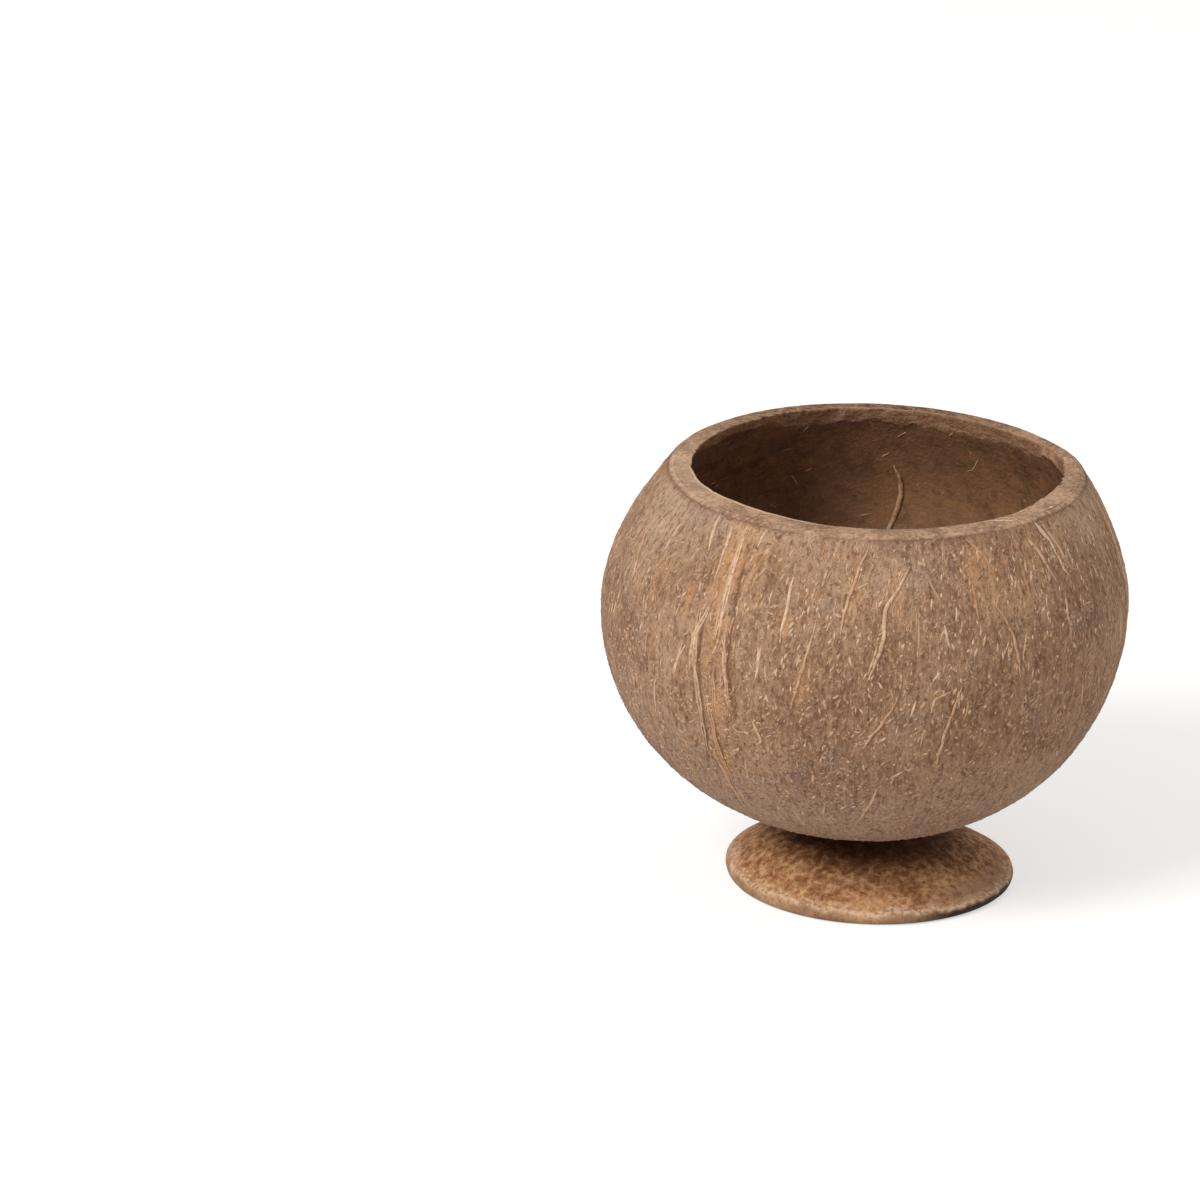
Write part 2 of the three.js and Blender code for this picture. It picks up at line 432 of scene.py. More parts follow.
# Where the far inner wall is painted lighter, as painted light: degrees from the front, and spread.
SMUDGED = (176, 32)
NICK_SIZE = 2.4
NICK_START = 0.22
LIP_DROP = 0.25
CHIP_DEPTH = 3.6
CHIP_LIMITS = (0.5, 6.5)
RIM_CREASE = 0.12
OUTSIDE, SAWN, CHIPPED, INSIDE = range(4)

degrees_round = columns_round()
ones = np.ones(COLUMNS)
rows = []  # each ring's radius, rise, zone, relief, and how much painted shade and tone darken it, or below 0 how much painted highlight and tone lighten it


def add_row(radius, rise, zone, relief=0.0, crease=0.0):
    rows.append((radius * ones, rise * ones, zone, relief, crease * ones))


for number in range(1, CROWN_ROWS):
    add_row(CROWN_RADIUS * number / CROWN_ROWS, 0, OUTSIDE)
for along in np.linspace(0, along_line(outside_line, BAND_FOOT[1]) - CREASE_GAP, OUTSIDE_ROWS):
    add_row(*up_line(outside_line, along), OUTSIDE, 1.0)
# Painted shade along the crease under the sanded band, darkest at the front left.
clearest = 0.6 + 0.5 * bell(degrees_round, *CREASE_CLEAREST)
crease_shown = smooth(1.3 * ring_noise(degrees_round, 11, 13) + clearest)
rows[-1] = (*rows[-1][:4], 0.5 * crease_shown)
wavy = 0.08 * ring_noise(degrees_round, 14, 3) + 0.04 * ring_noise(degrees_round, 3, 4)
add_row(BAND_FOOT[0] - RIM_CREASE, BAND_FOOT[1] + wavy - RIM_CREASE / 2, OUTSIDE, 0.4, crease_shown)
# The sawn face and band are painted darker at the front and paler at the left and right.
handled = sum(darker * bell(degrees_round, middle, spread) for middle, spread, darker in HANDLED)
for share in BAND_SHARES:
    radius = BAND_FOOT[0] + (BAND_HEAD[0] - BAND_FOOT[0]) * share
    rise = BAND_FOOT[1] + (BAND_HEAD[1] - BAND_FOOT[1]) * share
    add_row(radius, rise + wavy, SAWN, 0.4 * (1 - share), handled + 0.6 * (share < 0.2) * crease_shown)
level = FACE_RISE + wavy
add_row(BAND_HEAD[0] - FACE_EASE / 3, level - FACE_DROP, SAWN, 0, handled + 0.5 * crease_shown)
add_row(BAND_HEAD[0] - FACE_EASE, level, SAWN, 0, handled)
nicks = np.clip(ring_noise(degrees_round, NICK_SIZE, 7) - NICK_START, 0, 1) * NICK_SIZE
far_side = smooth(0.5 - 0.9 * np.cos(np.radians(degrees_round + 15)))
# The sawn face is painted darker and blotchier towards the back.
worn_side = smooth(-0.25 - np.cos(np.radians(degrees_round)))
ragged = 0.26 * ring_noise(degrees_round, 5, 5)
ragged += (0.12 + 0.5 * far_side) * ring_noise(degrees_round, 1.7, 6)
broken = stretch(degrees_round, *BROKEN, reach=1.7)
nicks *= 0.05 + 0.95 * far_side
inner_edge = INNER_EDGE + EDGE_LOSS * broken + ragged + nicks
for middle, spread, thinner in UNEVEN_WALL:
    inner_edge += thinner * bell(degrees_round, middle, spread)
inner_edge = np.minimum(inner_edge, BAND_HEAD[0] - LEAST_FACE)
# A painted highlight along the inner edge of the sawn face at the front left.
burnished = stretch(degrees_round, *BURNISHED, reach=1.5)
burnished *= smooth(0.9 + 1.3 * ring_noise(degrees_round, 6, 14))
for share in FACE_SHARES:
    radius = BAND_HEAD[0] - FACE_EASE + (inner_edge - BAND_HEAD[0] + FACE_EASE) * share
    add_row(radius, level - FACE_DROP * share ** 3, SAWN, 0, handled - (share > 0.85) * burnished)
lip = inner_edge - 0.12
add_row(lip, level - LIP_DROP - 0.3 * nicks, CHIPPED)
drop = 1 + 0.55 * ring_noise(degrees_round, 9, 8) + 0.45 * ring_noise(degrees_round, 3.2, 9)
drop = CHIP_DEPTH * drop * (0.3 + 0.7 * far_side)
band_end = level - 0.4 - np.clip(drop, *CHIP_LIMITS)
_, inside_radii, inside_rises = inside_line
wall_there = np.interp(band_end, inside_rises, inside_radii)
for share in np.linspace(1 / BAND_ROWS, 1, BAND_ROWS):
    rise = level - LIP_DROP + (band_end - level + LIP_DROP) * share
    rough = 0.16 * ring_noise(degrees_round + 40 * share, 3, 10) * (1 - share ** 4)
    add_row(lip + (wall_there - lip) * share + rough, rise, CHIPPED)
edge_along = along_line(inside_line, band_end - 0.12)
for share in np.linspace(0, 1, INSIDE_ROWS, endpoint=False):
    add_row(*up_line(inside_line, edge_along * (1 - share)), INSIDE, -1.0)

row_radius, row_rise, row_zone, row_relief, row_crease = (np.array(values) for values in zip(*rows))
bowl_points = on_nut(row_radius, degrees_round[None, :], row_rise)
row_level = row_rise + BOWL_BASE
bowl_normals = facing(degrees_round, np.gradient(row_radius, axis=0), np.gradient(row_rise, axis=0))
relief = np.zeros(row_radius.shape)
husked = row_relief > 0
relief[husked] = outside_relief(bowl_points[husked], degrees_round[None, :], row_level[husked])
scraped = row_relief < 0
relief[scraped] = -waves(bowl_points[scraped], INSIDE_WAVES)
relief *= np.abs(row_relief)[:, None]
bowl_points = bowl_points + bowl_normals * relief[..., None]


def turned_points(radius, degrees, rise, offset=0.0):
    """Points of a turned form whose axis may stand off the cup's."""
    azimuth = np.radians(degrees)
    x = radius * np.sin(azimuth) + offset
    return np.stack(np.broadcast_arrays(x, -radius * np.cos(azimuth), rise), axis=-1)


row_steps = np.hypot(np.diff(row_radius.mean(1)), np.diff(row_rise.mean(1)))
bowl_grain = turned_points(BELLY_RADIUS, degrees_round, np.append(0, np.cumsum(row_steps))[:, None])

# Where the shell shows ochre: degrees from the front, level, spread round and up in
# millimetres, and strength.
OCHRE = (
    (-36, 90, 5, 9, 1), (-35, 76, 3, 9, 0.95), (-30, 92, 3, 5, 0.6), (-56, 83, 2, 4, 0.9),
    (-45, 82, 1.6, 3, 0.7), (-33, 60, 1.2, 7, 0.8), (-33, 45, 1.6, 4, 0.7), (-5, 88, 1.8, 5, 0.9),
    (-20, 79, 1.3, 3, 0.8), (4, 86, 2.4, 5, 0.45), (-14, 66, 1.2, 5, 0.7), (28, 90, 5, 6, 0.7),
    (37, 87, 3, 4, 0.7), (24, 92, 3, 4, 0.8), (43, 93, 3, 5, 0.7), (34, 70, 1.4, 5, 0.6),
    (84, 88, 5, 9, 0.7), (88, 72, 3, 8, 0.6), (204, 90, 6, 9, 0.9), (203, 75, 4, 10, 0.7),
    (150, 84, 4, 6, 0.6), (120, 90, 5, 5, 0.5), (240, 82, 4, 7, 0.5), (262, 92, 4, 5, 0.5),
    (170, 60, 4, 7, 0.35), (228, 58, 3, 6, 0.4), (105, 55, 3, 8, 0.35),
)
# Where it is duskier, and where it is bleached, in the same way.
DUSKY = (
    (-4, 76, 26, 8, 0.7), (-20, 79, 9, 8, 0.7),
    (0, 67, 20, 11, 0.6), (36, 69, 20, 13, 0.62), (55, 70, 13, 15, 0.6), (17, 80, 12, 9, 0.75),
    (-62, 78, 9, 14, 0.6), (-75, 60, 14, 12, 0.4), (-20, 58, 12, 7, 0.3), (110, 66, 24, 14, 0.6),
    (160, 72, 22, 10, 0.5), (235, 64, 20, 13, 0.6),
)
BLEACHED = (
    (-66, 93, 17, 8, 1), (-40, 98, 22, 3.5, 0.75), (-14, 98, 20, 3, 0.65), (-68, 84, 10, 6, 0.6),
    (8, 91.5, 16, 4, 0.45), (70, 95, 13, 6, 0.75), (-60, 50, 16, 11, 0.45), (-22, 29, 24, 8, 0.75),
    (-44, 47, 9, 8, 0.5), (150, 95, 20, 6, 0.6), (228, 94, 18, 6, 0.6),
)


def patches(table):
    """How much of each of a table's patches every point of the bowl shows."""
    shown = np.zeros(row_radius.shape)
    for middle, middle_level, spread_round, spread_up, strength in table:
        away = np.radians(degrees_apart(degrees_round, middle))[None] * BELLY_RADIUS / spread_round
        off = (row_level - middle_level) / spread_up
        shown = np.maximum(shown, strength * np.exp(-away ** 2 - off ** 2))
    return shown


ASHEN_LEVEL = 50  # below which the shell is painted paler and greyer, as light from below
ASHEN_FADE = 16
ashen = smooth((ASHEN_LEVEL - row_level) / ASHEN_FADE)
# Painted shade: the creases beside the ridges are darkened, and each ring adds its own painted shade,
# highlight and tone.
darkened = np.maximum(1.25 * crease_depth(degrees_round[None, :], row_level), row_crease)
creased = np.where(row_crease < 0, row_crease, darkened)


class Skin(Finish):
    """A natural skin, mottled by patterns and coloured a wash at a time."""

    def place(self):
        """Where a point is, in millimetres."""
        here = self.add("TexCoord", {}).outputs["Object"]
        return self.add("VectorMath", {0: here, "Scale": 1 / MM}, operation="SCALE").outputs[0]

    def stored(self, name, output="Fac"):
        """What the mesh's points carry under a name."""
        return self.add("Attribute", {}, attribute_name=name).outputs[output]

    def stretched(self, vector, x, y, z):
        return self.add("VectorMath", {0: vector, 1: (x, y, z)}, operation="MULTIPLY").outputs[0]

    def mottle(self, vector, per_mm, detail, roughness):
        inputs = {"Vector": vector, "Scale": per_mm, "Detail": detail, "Roughness": roughness}
        return self.add("TexNoise", inputs).outputs["Fac"]

    def ramp(self, value, low, high, to_low=0.0, to_high=1.0):
        inputs = {"Value": value, "From Min": low, "From Max": high, "To Min": to_low, "To Max": to_high}
        return self.add("MapRange", inputs, interpolation_type="SMOOTHSTEP").outputs["Result"]

    def times(self, first, second):
        return self.add("Math", {0: first, 1: second}, operation="MULTIPLY").outputs[0]

    def plus(self, first, second):
        return self.add("Math", {0: first, 1: second}, operation="ADD").outputs[0]

    def mix(self, share, first, second):
        inputs = {0: share, 6: first, 7: second}
        return self.add("Mix", inputs, data_type="RGBA").outputs[2]

    def between(self, pattern, low, high, first, second):
        """One colour where a pattern is low, and another where it is high."""
        return self.mix(self.ramp(pattern, low, high), colour(first), colour(second))

    def washed(self, tone, share, most, wash):
        """A tone under a wash of another colour, whose strength is a share of a most."""
        return self.mix(self.times(share, most), tone, colour(wash))

    def marked(self, tone, *marks):
        """A tone under marks: of each a pattern, where it starts and is full, its most and its colour."""
        for pattern, start, full, most, mark in marks:
            tone = self.mix(self.ramp(pattern, start, full, 0, most), tone, colour(mark))
        return tone

    def matt(self, tone, relief, depth_mm, pattern, rough, smoother, specular):
        """A matt skin with a relief pressed into it, rough where a pattern is low."""
        inputs = {"Base Color": tone, "Specular IOR Level": specular}
        inputs["Normal"] = self.add("Bump", {"Height": relief, "Distance": depth_mm * MM}).outputs[0]
        inputs["Roughness"] = self.ramp(pattern, 0.3, 0.7, rough, smoother)
        return self.surface(self.add("BsdfPrincipled", inputs).outputs[0])


def small_marks(finish, vector, per_mm, long, least, most):
    """Short marks that lie up and down the shell. Gives how much a place is one, and its own tone."""
    bend = finish.add("TexNoise", {"Vector": vector, "Scale": 0.22, "Detail": 1.0}).outputs["Color"]
    swing = {0: bend, 1: (7, 7, 7), 2: vector}
    swung = finish.add("VectorMath", swing, operation="MULTIPLY_ADD").outputs[0]
    cells = finish.add("TexVoronoi", {"Vector": finish.stretched(swung, 1, 1, 1 / long), "Scale": per_mm})
    near = finish.ramp(cells.outputs["Distance"], least, most, 1.0, 0.0)
    odds = finish.add("SeparateColor", {"Color": cells.outputs["Color"]})
    return finish.times(near, finish.ramp(odds.outputs[0], 0.2, 0.9)), odds.outputs[1]


def husked_shell():
    finish = Skin("husked_shell")
    place = finish.place()
    grain = finish.stored("grain", "Vector")
    broad = finish.mottle(place, 0.05, 3, 0.55)
    cool = finish.mottle(place, 0.075, 2, 0.5)
    streaks = finish.mottle(finish.stretched(grain, 1, 1, 0.12), 0.7, 3, 0.6)
    dapple = finish.mottle(finish.stretched(place, 1, 1, 0.65), 0.42, 3, 0.6)
    speckle = finish.mottle(finish.stretched(place, 1, 1, 0.65), 1.4, 3, 0.65)
    furrows = finish.mottle(finish.stretched(grain, 1, 1, 0.45), 0.85, 3, 0.55)
    dots, dot_tone = small_marks(finish, place, 0.85, 1.4, 0.16, 0.42)
    grains, _ = small_marks(finish, finish.stretched(place, 1.03, 0.97, 1), 0.75, 2.4, 0.12, 0.36)
    pits, _ = small_marks(finish, finish.stretched(place, 0.96, 1.05, 1.01), 0.8, 1.8, 0.1, 0.45)

    tone = finish.between(broad, 0.35, 0.66, "957056", "b48e6f")
    tone = finish.marked(tone, (cool, 0.55, 0.74, 0.4, "8e7b6f"))
    tone = finish.washed(tone, finish.stored("dusky"), 0.56, "7b553f")
    tone = finish.washed(tone, finish.stored("bleached"), 0.5, "e0c3a5")
    # Painted light from below: paler and greyer low down.
    tone = finish.washed(tone, finish.stored("ashen"), 0.28, "b09488")
    streaked = finish.ramp(streaks, 0.36, 0.56, 0.15, 0.9)
    tone = finish.washed(tone, finish.stored("ochre"), streaked, "cb9661")
    tone = finish.marked(
        tone,
        (dapple, 0.5, 0.32, 0.5, "78533e"),
        (streaks, 0.5, 0.7, 0.35, "c29c7b"),
        (streaks, 0.48, 0.3, 0.35, "73503d"),
        (furrows, 0.5, 0.32, 0.55, "6f4b36"),
        (furrows, 0.54, 0.7, 0.35, "c6a081"),
    )
    tone = finish.washed(tone, pits, 0.5, "5c3b29")
    tone = finish.marked(
        tone,
        (speckle, 0.48, 0.3, 0.55, "6a4632"),
        (speckle, 0.53, 0.7, 0.5, "caa485"),
    )
    tone = finish.washed(tone, grains, 0.6, "d0ab8b")
    dot_colour = finish.between(dot_tone, 0.7, 0.9, "d8b596", "cc9a68")
    tone = finish.mix(finish.times(dots, 0.75), tone, dot_colour)
    # Painted shade in the creases and along the crease under the rim's band.
    crease = finish.stored("crease")
    tone = finish.washed(tone, crease, 0.6, "633e2a")

    relief = finish.times(speckle, 0.6)
    for marks, height in ((furrows, 0.8), (dots, 0.35), (grains, 0.35), (pits, -0.3)):
        relief = finish.plus(relief, finish.times(marks, height))
    return finish.matt(tone, relief, 0.6, speckle, 0.85, 0.68, 0.2)


def sawn_shell():
    finish = Skin("sawn_shell")
    place = finish.place()
    clouds = finish.mottle(place, 0.16, 3, 0.6)
    specks = finish.mottle(place, 1.1, 3, 0.6)
    blots = finish.mottle(place, 0.5, 3, 0.6)
    tone = finish.between(clouds, 0.36, 0.64, "9b785d", "c29c7d")
    tone = finish.marked(
        tone,
        (blots, 0.47, 0.32, 0.6, "7c5944"),
        (blots, 0.55, 0.68, 0.5, "c9a284"),
        (specks, 0.5, 0.34, 0.5, "7a5843"),
        (specks, 0.52, 0.66, 0.5, "d9b99c"),
    )
    # Darker and blotchier towards the back.
    worn = finish.stored("worn")
    torn = finish.between(blots, 0.4, 0.6, "453023", "7d5b45")
    torn = finish.marked(torn, (specks, 0.56, 0.66, 0.6, "b9967b"))
    tone = finish.mix(finish.times(worn, 0.92), tone, torn)
    # Painted shade along the crease, and below 0 a painted highlight along the inner edge, with darker and
    # paler tones round the face.
    crease = finish.stored("crease")
    tone = finish.washed(tone, crease, 0.6, "61442f")
    tone = finish.washed(tone, crease, -0.8, "e6c5a3")
    relief = finish.plus(specks, finish.times(blots, worn))
    return finish.matt(tone, relief, 0.3, specks, 0.8, 0.65, 0.2)


def chipped_shell():
    finish = Skin("chipped_shell")
    place = finish.place()
    clouds = finish.mottle(place, 0.3, 4, 0.65)
    pits = finish.mottle(place, 0.9, 3, 0.6)
    tone = finish.between(clouds, 0.38, 0.66, "9d7458", "b98f6e")
    tone = finish.marked(
        tone,
        (pits, 0.4, 0.3, 0.5, "50362a"),
        (pits, 0.55, 0.72, 0.5, "c39870"),
    )
    return finish.matt(tone, pits, 0.5, pits, 0.9, 0.72, 0.2)


def inner_skin():
    finish = Skin("inner_skin")
    place = finish.place()
    clouds = finish.mottle(place, 0.06, 4, 0.6)
    smears = finish.mottle(place, 0.25, 4, 0.65)
    specks = finish.mottle(place, 1.0, 3, 0.6)
    tone = finish.between(clouds, 0.34, 0.66, "7c5841", "94694b")
    tone = finish.marked(
        tone,
        (smears, 0.52, 0.68, 0.55, "a97549"),
        (smears, 0.5, 0.34, 0.6, "553a28"),
        (specks, 0.5, 0.34, 0.2, "5b402d"),
        (specks, 0.56, 0.7, 0.3, "b0855f"),
    )
    # Painted light and painted shade on the inner wall.
    smudge = finish.stored("smudge")
    tone = finish.washed(tone, smudge, 0.3, "b08660")
    tone = finish.washed(tone, smudge, -0.35, "4a3222")
    relief = finish.plus(smears, finish.times(specks, 0.35))
    return finish.matt(tone, relief, 0.3, smears, 0.72, 0.55, 0.3)


def with_poles(values, first=0, last=0):
    """Values of a stack of rings, and of the points that close it at its start and end."""
    return np.append(values.ravel(), (first, last))


# Painted light on the far inner wall, which faces the lamp, and painted shade on the left inner wall, which
# is turned from it.
smudge = 0.9 * bell(degrees_round, *SMUDGED)
smudge -= smooth(-0.3 - 1.2 * np.sin(np.radians(degrees_round)))
poles = np.array([on_nut(0.0, 0.0, np.float64(0)), on_nut(0.0, 0.0, np.float64(FLOOR))])
face_zones = np.repeat(row_zone[1:], COLUMNS).tolist() + [OUTSIDE] * COLUMNS + [INSIDE] * COLUMNS
bowl = add_piece(
    "bowl",
    np.vstack([bowl_points.reshape(-1, 3), poles]),
    ring_faces(len(rows), COLUMNS),
    [husked_shell(), sawn_shell(), chipped_shell(), inner_skin()],
    face_zones,
    grain=np.vstack([bowl_grain.reshape(-1, 3), bowl_grain[0, 0], bowl_grain[-1, 0]]),
    ochre=with_poles(patches(OCHRE)),
    dusky=with_poles(patches(DUSKY)),
    bleached=with_poles(patches(BLEACHED)),
    ashen=with_poles(ashen, 1, 0),
    crease=with_poles(creased),
    worn=with_poles(np.tile(worn_side, len(rows))),
    smudge=with_poles(np.tile(smudge, len(rows))),
)
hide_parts("bowl_shell")


# The husk strands
# Coarse strands of coir that held on when the husk was pulled away, and one left inside.
# Each lies on the shell, a little flattened, and thins out to both ends.
STRANDS = {  # width, how pale, and the route in degrees from the front and levels
    "front": (0.92, 0.75, ((8, 92.5), (5.5, 88.6), (2.8, 84.7), (2.6, 79.6), (2, 76), (0, 70))),
    "front_left": (0.7, 0.6, ((-2.8, 96.2), (-4, 93.7), (-5.6, 88), (-6.6, 84.1), (-7, 79.3))),
    "mid_left": (0.6, 0.55, ((-12.5, 82.3), (-13.6, 75), (-14.6, 69.5), (-16.2, 61.8))),
    "low_front": (0.6, 0.5, ((6.5, 65.5), (5, 62), (2.5, 58), (-0.5, 53))),
    "low_right": (0.7, 0.6, ((20.5, 67), (18.5, 60), (17.5, 55.5), (16.5, 48.3))),
    "right": (0.7, 0.5, ((30, 83), (32.3, 79), (34, 73.6), (35, 67.3))),
    "rim_right": (0.65, 0.85, ((48.5, 96.6), (50, 94), (51.5, 89), (53, 86))),
    "far_left": (0.6, 0.5, ((-72, 88.5), (-69, 84.4), (-66.5, 78.7))),
}
INSIDE_STRAND = (1.25, 0.6, ((172, 81.3), (170.3, 77.5), (170, 73), (171, 68.5), (173.5, 61.5)))


def smooth_route(places, steps):
    """Evenly spaced points of a smooth curve through given places."""
    knots = np.array(places, float)
    knots = np.vstack([2 * knots[0] - knots[1], knots, 2 * knots[-1] - knots[-2]])
    spans = []
    for a, b, c, d in zip(knots, knots[1:], knots[2:], knots[3:]):
        t = np.linspace(0, 1, 12, endpoint=False)[:, None]
        bend = (2 * a - 5 * b + 4 * c - d) * t ** 2 + (3 * b - a - 3 * c + d) * t ** 3
        spans.append(b + 0.5 * ((c - a) * t + bend))
    route = np.vstack(spans + [knots[-2:-1]])
    lengths = lengths_along(route)
    even = np.linspace(0, lengths[-1], steps)
    return np.stack([np.interp(even, lengths, route[:, i]) for i in range(2)])


def fibres(points, normals, widths, sides, height, bite, taper=0.5):
    """Tapered fibres that lie along rows of points on a surface, as one set of points and faces.

    Height and bite are shares of a fibre's width: how thick it is, and how deep it sinks in.
    """
    count, steps, _ = points.shape
    share = np.linspace(0, 1, steps)
    swell = np.sin(np.pi * np.clip(share, 0.03, 0.97)) ** taper
    forward = np.gradient(points, axis=1)
    forward /= np.linalg.norm(forward, axis=2, keepdims=True)
    side = np.cross(forward, normals)
    side /= np.linalg.norm(side, axis=2, keepdims=True)
    widths = np.asarray(widths, float).reshape(count, 1, 1)
    half_width = (widths / 2 * swell[None, :, None])[:, :, None]
    turn = np.linspace(0, 2 * np.pi, sides, endpoint=False)[None, None, :, None]
    centre = points + normals * widths * (height / 2 - bite)
    around = np.cos(turn) * side[:, :, None] + height * np.sin(turn) * normals[:, :, None]
    rings = centre[:, :, None] + half_width * around
    reach = widths[:, 0] * 0.4
    tips = np.stack([centre[:, 0] - forward[:, 0] * reach, centre[:, -1] + forward[:, -1] * reach], axis=1)
    made = np.concatenate([rings.reshape(count, -1, 3), tips], axis=1)
    pattern = ring_faces(steps, sides)
    size = made.shape[1]
    faces = [[corner + size * number for corner in face] for number in range(count) for face in pattern]
    return made.reshape(-1, 3), faces, size


def coir():
    finish = Skin("coir")
    place = finish.place()
    tint = finish.stored("tint")
    fibrous = finish.mottle(place, 0.9, 3, 0.6)
    patchy = finish.mottle(place, 0.33, 2, 0.5)
    tone = finish.mix(tint, colour("b37d50"), colour("dcbb9c"))
    tone = finish.marked(
        tone,
        (patchy, 0.48, 0.66, 0.5, "a98366"),
        (fibrous, 0.5, 0.3, 0.6, "84593e"),
    )
    return finish.matt(tone, fibrous, 0.1, fibrous, 0.8, 0.62, 0.25)


coir_strand = coir()


def outside_at(degrees, level):
    return on_outside(degrees, outside_along(level))


def inside_at(degrees, level):
    return on_inside(degrees, inside_along(level))


def swayed(degrees, levels, size, seed):
    """A route's degrees, made to wander a little as it climbs."""
    return degrees + 0.4 * np.array([noise.noise((level / size, seed, 0)) for level in levels])


def lay_strand(name, width, paleness, places, wall, steps=48, sides=8):
    degrees, levels = smooth_route(places, steps)
    seed = sum(name.encode())
    points, normals = wall(swayed(degrees, levels, 2.6, seed), levels)
    strand_points, strand_faces, _ = fibres(
        points[None], normals[None], [width], sides, height=0.55, bite=0.14, taper=0.35,
    )
    strand_points = strand_points + width * 0.12 * lumps(strand_points, 0.9, seed)[:, None]
    shade = np.clip(paleness + 0.5 * lumps(strand_points, 3, seed), 0, 1)
    strand = add_piece("strand_" + name, strand_points, strand_faces, [coir_strand], tint=shade)
    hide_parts("husk_strand_" + name)


for name, (width, paleness, places) in STRANDS.items():
    lay_strand(name, width, paleness, places, outside_at)
lay_strand("inside", *INSIDE_STRAND, inside_at)


# The husk fibres
# What the scraper left of the husk's finer fibres: long ones that run down beside the three
# ridges, hairs, and short grains all over, half sunk in the shell and standing a little proud.
RIDGE_FIBRES = (  # width, how pale, and the route as degrees from the ridge and levels
    (1.5, 0.8, ((-1, 97.4), (-0.6, 92), (0.4, 86), (0.8, 80), (1, 73.6))),
    (0.95, 0.8, ((-5.6, 97.3), (-4.6, 92.2), (-4, 87.7))),
    (1.1, 0.85, ((-2.8, 80.5), (-3.8, 76.3), (-4.6, 72.7), (-4.4, 66.5))),
    (1, 0.6, ((-4.8, 79.3), (-3.6, 70.3), (-3, 64.9), (-2.1, 59.2), (-1.9, 52.5), (-2.6, 45))),
    (0.9, 0.3, ((1.5, 66.4), (1.8, 61), (2.1, 56.2))),
    (0.95, 0.5, ((3, 77), (3.9, 70.6), (4.9, 64.9), (6, 57.6))),
    (0.95, 0.45, ((-1.3, 62.5), (0.3, 58), (0.8, 53.8), (1.3, 46.9), (1.6, 41), (0.4, 33))),
    (0.9, 0.85, ((-7, 70.9), (-8.2, 67.5), (-9.2, 64.5))),
    (0.8, 0.7, ((-11.5, 97.6), (-10.9, 95.2), (-9.2, 91))),
    (0.6, 0.8, ((5, 97.3), (4.2, 94))),
    (0.8, 0.4, ((-0.4, 46.5), (0.6, 40), (0.2, 33), (-2.6, 25.5))),
    (0.6, 0.8, ((11.2, 75.3), (12, 70.6), (11.5, 67.6))),
    (0.6, 0.7, ((11, 57.4), (12.8, 52.7), (11.6, 51.1))),
)
LOOSE_FIBRES = (
    (0.55, 0.7, ((17.5, 66.4), (16.5, 65.6), (14.5, 64.6), (14, 61.7))),
    (0.5, 0.9, ((10.5, 64.6), (9.5, 61))),
    (0.5, 0.6, ((1.2, 77.2), (-0.2, 71))),
    (0.5, 0.3, ((13, 90.1), (14.4, 88), (15.6, 85.7))),
    (0.55, 0.95, ((16.4, 80.9), (17.5, 76.5))),
    (0.55, 0.6, ((-24, 75), (-24.2, 70))),
    (0.5, 0.5, ((-28, 46.3), (-28.5, 40))),
    (0.5, 0.6, ((-51.5, 60.4), (-53, 51.1))),
    (0.5, 0.6, ((8.5, 33.7), (5, 30.7))),
    (0.5, 0.7, ((-4, 36.4), (-6, 34.6))),
    (0.5, 0.5, ((-19, 33.4), (-18.5, 29.5), (-18.5, 25))),
    (0.45, 0.6, ((-9.5, 36.7), (-11, 31.9))),
    (0.5, 0.7, ((3, 41.5), (2, 37.3), (-1, 30.7))),
    (0.5, 0.6, ((9, 46.6), (6, 44.5))),
    (0.5, 0.8, ((15.5, 70.9), (14, 69.1))),
    (0.6, 0.85, ((47.4, 97.6), (48.2, 96.4), (49.6, 94))),
    (0.7, 0.2, ((24, 97), (28.3, 93.4), (29.5, 90.4))),
    (0.6, 0.15, ((24, 89), (24.6, 85), (24.6, 81.4))),
    (0.5, 0.7, ((43, 95.6), (46, 90.7), (48.5, 85.3))),
    (0.5, 0.6, ((49.8, 97.4), (51.6, 94), (53.8, 89.5), (54.8, 87))),
    (0.6, 0.1, ((45.3, 93.1), (46.4, 90.4), (47.4, 88))),
    (0.55, 0.1, ((36.2, 88.5), (37.2, 84))),
    (0.55, 0.9, ((69.5, 93.1), (69, 88.6))),
    (0.5, 0.7, ((49, 79.6), (51.5, 73.3))),
    (0.5, 0.6, ((55.5, 60.4), (56.5, 55))),
    (0.5, 0.6, ((48.5, 57.4), (46, 55.3))),
    (0.7, 0.9, ((-20, 89.5), (-20, 82.3), (-20, 77.2))),
)
RIM_STREAKS = (  # the same for the sawn edge, but with distances from the axis
    (0.9, 1, ((33, 42.8), (36, 43.4), (39, 44.8), (41.5, 46))),
    (0.7, 1, ((48, 42.6), (50, 42.5))),
    (0.8, 1, ((56.5, 45.9), (59.5, 45.7))),
)
INSIDE_SPECKS = (  # the same for the inner wall
    (0.5, 0.9, ((171.5, 90), (169, 91.8))),
    (0.5, 0.8, ((175.5, 83.7), (173.5, 84.9))),
    (0.35, 0.9, ((148, 87), (149, 85.5), (150.5, 83.4), (152.5, 82.5))),
    (0.5, 0.8, ((156, 92.4), (154.5, 93.6))),
    (0.5, 0.7, ((179.5, 67.2), (177, 67.9))),
    (0.5, 0.9, ((197.7, 78.5), (195.3, 75.4))),
    (0.5, 0.7, ((194.3, 79.4), (192.8, 80.1))),
    (0.5, 0.8, ((198.7, 91.5), (197.8, 93.5))),
)
BUNDLED_WIDTH = 0.55
GRAIN_TOP = 96.6  # the sanded shell above this level is bare
HAIRS = 130
HAIR_LEVELS = (20, GRAIN_TOP - 4)
HAIR_LENGTHS = (3, 7)
HAIR_WIDTHS = (0.4, 0.8)
GRAINS = 5200
